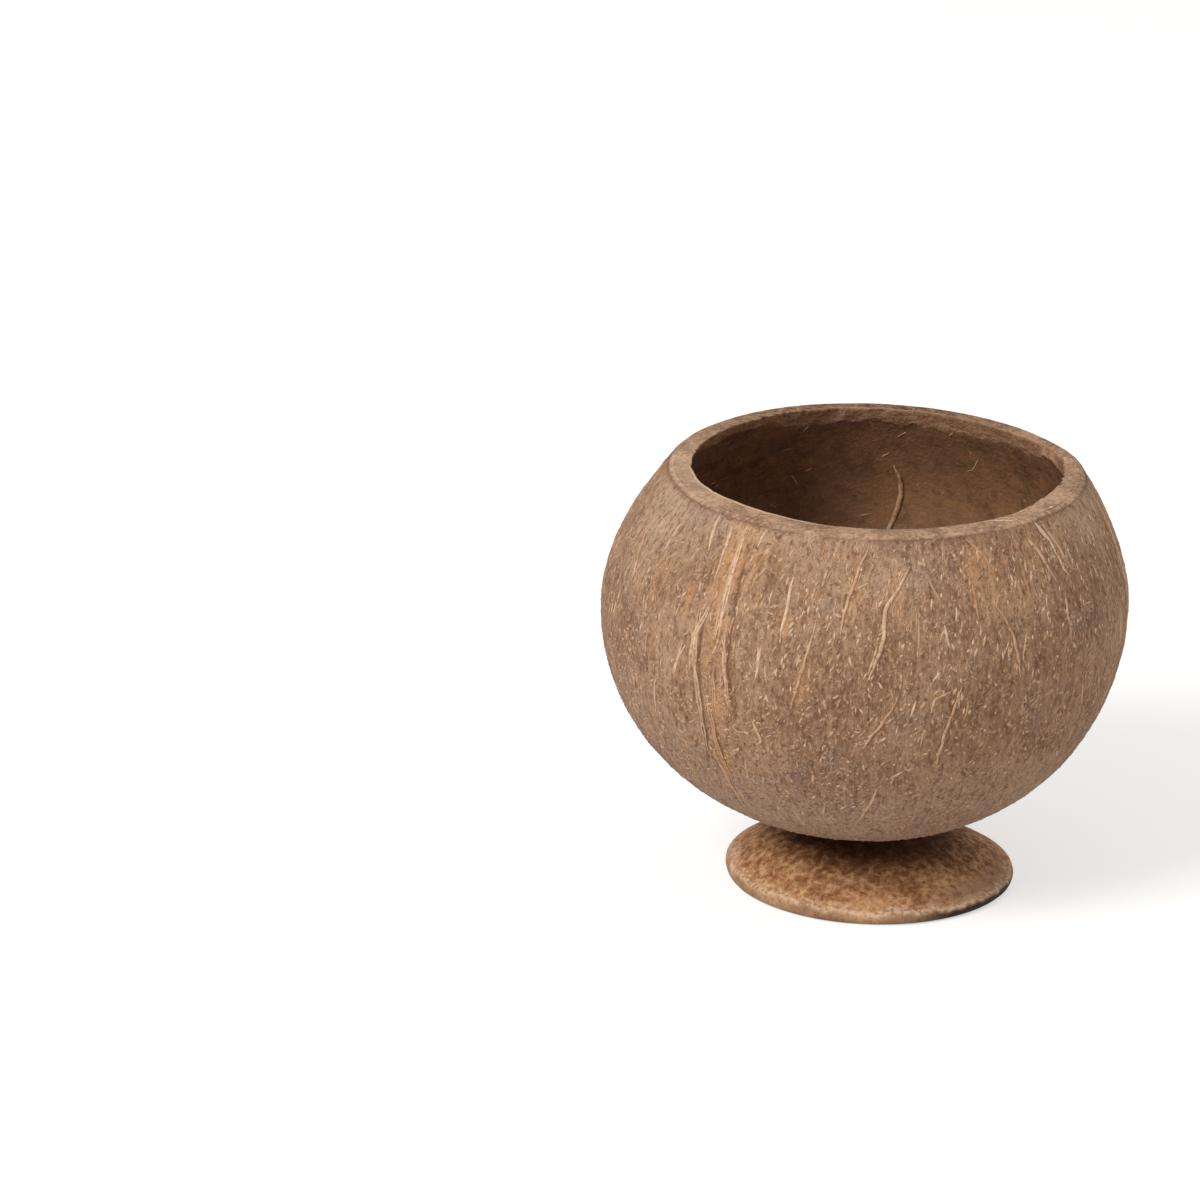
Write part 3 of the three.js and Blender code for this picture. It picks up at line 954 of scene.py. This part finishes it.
GRAIN_LEVELS = (17, GRAIN_TOP - 1)
GRAIN_WIDTHS = (0.45, 0.85)
GRAIN_LIMITS = (0.45, 2.8)  # the shortest and longest, in millimetres
INSIDE_GRAINS = 110
INSIDE_LEVELS = (30, 94)
INSIDE_LENGTHS = (1, 3.5)
INSIDE_WIDTHS = (0.3, 0.65)
draw = np.random.default_rng(27)

routes = []
for seam, side in zip(SEAMS, CREASE_SIDES):
    for width, paleness, places in RIDGE_FIBRES:
        shift = 0 if seam == SEAMS[0] else draw.uniform(-1.2, 1.2)
        drop = 0 if seam == SEAMS[0] else draw.uniform(-4, 0)
        moved = [(seam + side * (off + shift), level + drop) for off, level in places]
        routes.append((width, paleness, moved))
routes.extend(LOOSE_FIBRES)
fibre_routes = []
for width, paleness, places in routes:
    count = max(1, round(width / BUNDLED_WIDTH))
    for number in range(count):
        aside = math.degrees((number - (count - 1) / 2) * width / count / BELLY_RADIUS)
        slip = draw.uniform(-1.5, 1.5, 2) * (count > 1)
        moved = [(off + aside, level) for off, level in places]
        moved[0] = (moved[0][0], min(moved[0][1] + slip[0], GRAIN_TOP + 1))
        moved[-1] = (moved[-1][0], moved[-1][1] + slip[1])
        shade = paleness + 0.1 + draw.uniform(-0.25, 0.15) * (count > 1)
        fibre_routes.append((width / count * 1.25, shade, moved))


def random_places(count, low, high):
    """Places spread evenly over the outside: degrees, and millimetres up its curve."""
    along = np.arange(0, outside_line[0][-1], 0.5)
    radius, _ = up_line(outside_line, along)
    kept = (along > outside_along(low)) & (along < outside_along(high))
    share = np.cumsum(radius * kept)
    places = np.interp(draw.uniform(0, share[-1], count), share, along)
    return draw.uniform(-180, 180, count), places


def short_fibres(degrees, along, lengths, angles, bends, wall, line, steps):
    """Rows of points of short bent fibres, each laid about a middle place."""
    reach = np.linspace(-0.5, 0.5, steps)[None, :] * lengths[:, None]
    bow = bends[:, None] * (reach ** 2 - lengths[:, None] ** 2 / 12)
    up = reach * np.cos(angles)[:, None] - bow * np.sin(angles)[:, None]
    sideways = reach * np.sin(angles)[:, None] + bow * np.cos(angles)[:, None]
    height = along[:, None] + up
    radius = np.maximum(up_line(line, height)[0], 6)
    return wall(degrees[:, None] + np.degrees(sideways / radius), height)


def add_fibres(name, sets):
    """One piece of several sets of fibres, each with its points, faces and a tint for every fibre."""
    points, faces, tints = [], [], []
    start = 0
    for (made, made_faces, size), tint in sets:
        points.append(made)
        faces.extend([[corner + start for corner in face] for face in made_faces])
        tints.append(np.repeat(tint, size))
        start += len(made)
    tint = np.clip(np.concatenate(tints), 0, 1)
    piece = add_piece(name, np.vstack(points), faces, [coir_strand], tint=tint)


def on_sawn_face(degrees, radius):
    points = on_nut(radius, degrees, np.full_like(radius, FACE_RISE))
    return points, np.broadcast_to((0.0, 0.0, 1.0), points.shape)


def lay_fibres(table, wall, steps, sides, height, bite, sways=False, brightness=1.0):
    """Fibres along the routes of a table, and a tint for each."""
    laid = []
    for number, (_, _, places) in enumerate(table):
        degrees, heights = smooth_route(places, steps)
        if sways:
            degrees = swayed(degrees, heights, 4.3, 0.9 * number)
        laid.append(wall(degrees, heights))
    points, normals = np.stack(laid, axis=1)
    widths, paleness, _ = zip(*table)
    return fibres(points, normals, widths, sides, height, bite), brightness * np.array(paleness)


long_set = lay_fibres(fibre_routes, outside_at, steps=26, sides=7, height=0.36, bite=0.17, sways=True)
speck_set = lay_fibres(INSIDE_SPECKS, inside_at, steps=8, sides=6, height=0.4, bite=0.12, brightness=0.75)
rim_set = lay_fibres(RIM_STREAKS, on_sawn_face, steps=10, sides=7, height=0.42, bite=0.1)

hair_degrees, hair_along = random_places(HAIRS, *HAIR_LEVELS)
upper = smooth((hair_along - outside_along(40)) / 50)
hair_lengths = draw.uniform(*HAIR_LENGTHS, HAIRS) * (0.5 + 0.5 * upper)
hair_angles = draw.normal(0.05, 0.1 + 0.35 * (1 - upper))
hair_bends = draw.normal(0, 0.02, HAIRS)
hair_rows = short_fibres(
    hair_degrees, hair_along, hair_lengths, hair_angles, hair_bends, on_outside, outside_line, steps=12,
)
hairs = fibres(*hair_rows, draw.uniform(*HAIR_WIDTHS, HAIRS), sides=6, height=0.36, bite=0.17)
add_fibres("long_fibres", [long_set, rim_set, speck_set, (hairs, draw.uniform(0.3, 0.8, HAIRS))])

# Where the shell was scraped barer: degrees, spread, strength, and the level from which it shows
# and the millimetres over which it sets in.
BARE = ((-70, 34, 1.0, 72, 24), (0, 18, 0.6, 84, 7))
RUSTY_SHARE = 0.14
grain_degrees, grain_along = random_places(GRAINS, *GRAIN_LEVELS)
upper = smooth((grain_along - outside_along(38)) / 55)
grain_lengths = np.clip(draw.lognormal(0.1, 0.45, GRAINS), *GRAIN_LIMITS) * (0.55 + 0.6 * upper)
grain_angles = draw.normal(0.08, 0.2 + 0.55 * (1 - upper))
grain_bends = draw.normal(0, 0.05, GRAINS)
grain_rows = short_fibres(
    grain_degrees, grain_along, grain_lengths, grain_angles, grain_bends, on_outside, outside_line, steps=4,
)
bare = np.zeros(GRAINS)
for middle, spread, strength, level, fade in BARE:
    shown = strength * bell(grain_degrees, middle, spread)
    bare = np.maximum(bare, shown * smooth((grain_along - outside_along(level)) / fade))
grain_widths = draw.uniform(*GRAIN_WIDTHS, GRAINS) * (1 - 0.4 * bare)
grain_set = fibres(*grain_rows, grain_widths, sides=5, height=0.33, bite=0.16, taper=0.7)
grain_tints = np.clip(draw.normal(0.51, 0.22, GRAINS) + 0.15 * upper - 0.2 * bare, 0, 1)
grain_tints *= np.where(draw.random(GRAINS) < RUSTY_SHARE, 0.25, 1)
inner_degrees = draw.uniform(-180, 180, INSIDE_GRAINS)
inner_along = draw.uniform(*inside_along(INSIDE_LEVELS), INSIDE_GRAINS)
inner_lengths = draw.uniform(*INSIDE_LENGTHS, INSIDE_GRAINS)
inner_angles = draw.uniform(-1.4, 1.4, INSIDE_GRAINS)
inner_bends = draw.normal(0, 0.12, INSIDE_GRAINS)
inner_rows = short_fibres(
    inner_degrees, inner_along, inner_lengths, inner_angles, inner_bends, on_inside, inside_line, steps=5,
)
inner_widths = draw.uniform(*INSIDE_WIDTHS, INSIDE_GRAINS)
inner_set = fibres(*inner_rows, inner_widths, sides=5, height=0.4, bite=0.2, taper=0.6)
add_fibres("short_fibres", [(grain_set, grain_tints), (inner_set, draw.uniform(0.1, 0.7, INSIDE_GRAINS))])


# The foot
# A shallow cap sawn from the crown of a second nut, turned over and sanded smooth. Its sawn
# edge is rounded and rests on the table, and its own crown is sanded flat under the glue.
foot_low, foot_high = (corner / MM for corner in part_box("foot_shell"))
FOOT_RADIUS = (foot_high.y - foot_low.y) / 2
FOOT_OFFSET = (foot_low.x + foot_high.x) / 2
FOOT_EDGE = 3.5
FOOT_WALL = 3.8
DOME_RADIUS = 50
CROWN_SANDING = 0.83
FOOT_LOPSIDE = 0.18
FOOT_COLUMNS = 300
DOME_ROWS = 60
EDGE_ROWS = 22
HOLLOW_ROWS = 40
FOOT_WAVES = ((0.16, 13, 21), (0.07, 4, 22))
BORDER_DROP = 0.4
REST_CLEARANCE = 1.2  # over which the waves fade out towards the table
CROWN_CLEARANCE = 1.5

edge_radius = FOOT_EDGE / 2
dome_foot = FOOT_RADIUS - edge_radius
dome_centre = FOOT_EDGE - math.sqrt(DOME_RADIUS ** 2 - dome_foot ** 2)
foot_height = dome_centre + DOME_RADIUS - CROWN_SANDING
foot_flat = math.sqrt(DOME_RADIUS ** 2 - (DOME_RADIUS - CROWN_SANDING) ** 2)


def arc(centre_radius, centre_rise, radius, start, end, steps):
    turn = np.linspace(start, end, steps)
    return np.stack([centre_radius + radius * np.cos(turn), centre_rise + radius * np.sin(turn)], axis=-1)


hollow_radius = DOME_RADIUS - FOOT_WALL
hollow_foot = math.asin(-dome_centre / hollow_radius)
dome_start = math.atan2(FOOT_EDGE - dome_centre, dome_foot)
dome_end = math.atan2(foot_height - dome_centre, foot_flat)
hollow_arc = arc(0, dome_centre, hollow_radius, math.pi / 2 - 0.02, hollow_foot, HOLLOW_ROWS)
edge_arc = arc(dome_foot, edge_radius, edge_radius, -math.pi / 2, math.pi / 2, EDGE_ROWS)
dome_arc = arc(0, dome_centre, DOME_RADIUS, dome_start, dome_end, DOME_ROWS)[1:]
crown_rings = np.array([(foot_flat * share, foot_height) for share in (0.66, 0.33)])
foot_line = np.vstack([hollow_arc, edge_arc, dome_arc, crown_rings])
foot_degrees = np.linspace(-180, 180, FOOT_COLUMNS, endpoint=False)
foot_azimuth = np.radians(foot_degrees)
foot_radius, foot_rise = foot_line.T[:, :, None] * np.ones(FOOT_COLUMNS)
outward = np.maximum(0, (foot_radius - foot_flat) / (FOOT_RADIUS - foot_flat))
foot_rise = foot_rise * (1 - FOOT_LOPSIDE * outward * np.sin(foot_azimuth))
foot_points = turned_points(foot_radius, foot_degrees, foot_rise, FOOT_OFFSET)
foot_normals = facing(foot_degrees, np.gradient(foot_radius, axis=0), np.gradient(foot_rise, axis=0))
off_table = np.clip(foot_rise / REST_CLEARANCE, 0, 1)
off_crown = np.clip((foot_height - foot_rise) / CROWN_CLEARANCE, 0, 1)
foot_relief = waves(foot_points, FOOT_WAVES) * (off_table * off_crown)
foot_points = foot_points + foot_normals * foot_relief[..., None]


def past(distance, fade):
    """0 well short of an edge and 1 well past it, with a soft change over a fade."""
    return smooth(distance / fade + 0.5)


# The sawn edge reaches up to a border that wanders round the cap.
border = FOOT_EDGE + 0.9 * ring_noise(foot_degrees, 6, 23, FOOT_RADIUS) - BORDER_DROP
border += 0.4 * ring_noise(foot_degrees, 1.8, 24, FOOT_RADIUS)
true_rise = foot_line[:, 1:]
outer_side = foot_radius > dome_foot - 6
on_edge = past(border - true_rise, fade=0.7) * outer_side


def cap_shell():
    finish = Skin("cap_shell")
    place = finish.place()
    clouds = finish.mottle(place, 0.06, 4, 0.6)
    dapple = finish.mottle(place, 0.55, 4, 0.65)
    flecks = finish.mottle(place, 1.0, 3, 0.6)
    specks = finish.mottle(place, 1.5, 2, 0.6)
    tone = finish.between(clouds, 0.36, 0.66, "a3724a", "c99769")
    tone = finish.marked(
        tone,
        (dapple, 0.49, 0.64, 0.7, "e0b283"),
        (dapple, 0.5, 0.35, 0.72, "74472a"),
        (flecks, 0.48, 0.3, 0.5, "6f4529"),
        (flecks, 0.56, 0.72, 0.4, "dbb084"),
        (specks, 0.56, 0.74, 0.3, "dbb58e"),
    )
    # The stain is partly painted shade under the bowl.
    for name, start, full, least, most, wash in (
        ("browned", 0.64, 0.36, 0.35, 0.85, "6b3f22"),
        ("stain", 0.66, 0.34, 0.8, 0.97, "432713"),
        ("greyed", 0.4, 0.6, 0.3, 0.8, "9c7b64"),
    ):
        patchy = finish.ramp(dapple, start, full, least, most)
        tone = finish.washed(tone, finish.stored(name), patchy, wash)
    sawn = finish.between(clouds, 0.36, 0.64, "a07a5a", "c39b77")
    sawn = finish.marked(
        sawn,
        (flecks, 0.46, 0.34, 0.4, "7c583c"),
        (specks, 0.5, 0.3, 0.5, "7d5a3f"),
    )
    tone = finish.mix(finish.times(finish.stored("sawn"), 0.8), tone, sawn)
    # A painted highlight along the border, where the sawn edge rounds over.
    tone = finish.washed(tone, finish.stored("rubbed"), finish.ramp(flecks, 0.4, 0.58, 0.2, 0.85), "e2bf9b")
    # Painted shade, with a dark stain, on the edge at the front right.
    tone = finish.washed(tone, finish.stored("scorched"), 0.95, "28170d")
    relief = finish.plus(dapple, finish.times(flecks, 0.6))
    return finish.matt(tone, relief, 0.35, dapple, 0.8, 0.62, 0.2)


STAIN_REACH = 19.5  # how far out the dark stain and the painted shade under the bowl reach, and by how much they lean to one side
STAIN_LEAN = 2.5
STAIN_TURN = math.radians(20)
BROWN_MARGIN = 3.5  # by which the paler brown reaches further out than that
TONGUE = (14, 16)  # degrees and spread of a place where it runs out further, and by how much
TONGUE_REACH = 3
BROWN_SIDE = (84, 32)
BROWN_SIDE_REACH = 6.5
GREYED = (62, 32)
GREYED_START = 28.5
# Where the sawn edge at the front right is painted near black, as painted shade with a dark stain: degrees
# and spread.
SCORCHED = (52, 27)
RUBBED_WIDTH = 0.6  # of the painted highlight along the border
# Darkest under the bowl: a dark stain, with painted shade where the bowl keeps the light off.
stain_reach = STAIN_REACH + STAIN_LEAN * np.cos(foot_azimuth - STAIN_TURN) + 3 * lumps(foot_points, 9, 25)
stain = past(stain_reach - foot_radius, fade=9)
brown_reach = stain_reach + TONGUE_REACH * bell(foot_degrees, *TONGUE)
brown_reach += BROWN_MARGIN + BROWN_SIDE_REACH * bell(foot_degrees, *BROWN_SIDE)
browned = past(brown_reach - foot_radius, fade=12)
greyed = stretch(foot_degrees, *GREYED, reach=1.5) * past(foot_radius - GREYED_START, fade=4)
# A painted highlight along the border of the sawn edge.
rubbed = np.exp(-((true_rise - border) / RUBBED_WIDTH) ** 2) * outer_side
# Painted shade with a dark stain on the sawn edge at the front right, below the highlight.
scorched = stretch(foot_degrees, *SCORCHED, reach=1.6) * on_edge
scorched *= past(border - RUBBED_WIDTH - true_rise, fade=1.2)
foot_poles = np.array([[FOOT_OFFSET, 0, dome_centre + hollow_radius], [FOOT_OFFSET, 0, foot_height]])
foot = add_piece(
    "foot",
    np.vstack([foot_points.reshape(-1, 3), foot_poles]),
    ring_faces(len(foot_line), FOOT_COLUMNS),
    [cap_shell()],
    sawn=with_poles(on_edge),
    stain=with_poles(stain, 0.5, 1),
    browned=with_poles(browned, 0.5, 1),
    greyed=with_poles(greyed),
    rubbed=with_poles(rubbed),
    scorched=with_poles(scorched),
)
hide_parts("foot_shell")


# The glue
# Clear brown glue between the two sanded crowns. It was squeezed out into a lumpy bead round
# the joint and left as it set.
glue_low, glue_high = (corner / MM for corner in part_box("glue_joint"))
GLUE_MIDDLE = (glue_low + glue_high) / 2
BEAD_RADIUS = (glue_high.y - glue_low.y) / 2
BEAD_CORE = 8
BEAD_CLEARANCE = 0.1
BEAD_EASE = 0.5  # by which the bead's top and foot lie inside its widest ring
BEAD_BULGE = 0.35
GLUE_COLUMNS = 160

glue_degrees = np.linspace(-180, 180, GLUE_COLUMNS, endpoint=False)
blobs = 0.5 * ring_noise(glue_degrees, 5, 31, BEAD_RADIUS)
blobs += 0.25 * ring_noise(glue_degrees, 2, 32, BEAD_RADIUS)
bead_top = glue_high.z - BEAD_CLEARANCE
bead_foot = glue_low.z
bead_edge = BEAD_RADIUS - BEAD_EASE
glue_rings = [
    (BEAD_CORE, foot_height),
    (BEAD_CORE, foot_height + BEAD_CLEARANCE),
    (foot_flat + 1.6, foot_height + BEAD_CLEARANCE),
]
for turn in np.linspace(0, math.pi, 9):
    climbed = (bead_top - bead_foot - BEAD_CLEARANCE) * turn / math.pi
    glue_rings.append((bead_edge + BEAD_BULGE * math.sin(turn), bead_foot + BEAD_CLEARANCE + climbed))
glue_rings += [(BEAD_CORE, bead_top), (BEAD_CORE, glue_high.z)]
glue_rings = np.array(glue_rings)
loose = glue_rings[:, :1] > bead_edge - 0.01
glue_radius = glue_rings[:, :1] + np.where(loose, np.minimum(blobs - 0.2, 0.12), 0)
glue_points = turned_points(glue_radius, glue_degrees, glue_rings[:, 1:], GLUE_MIDDLE.x)


def set_glue():
    finish = Skin("set_glue")
    clouds = finish.mottle(finish.place(), 0.26, 3, 0.6)
    tone = finish.between(clouds, 0.35, 0.65, "2f1f14", "5a3d28")
    return finish.matt(tone, clouds, 0.3, clouds, 0.5, 0.3, 0.5)


glue_poles = np.array([[GLUE_MIDDLE.x, 0, foot_height], [GLUE_MIDDLE.x, 0, glue_high.z]])
glue = add_piece(
    "glue_bead",
    np.vstack([glue_points.reshape(-1, 3), glue_poles]),
    ring_faces(len(glue_rings), GLUE_COLUMNS),
    [set_glue()],
)
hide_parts("glue_joint")
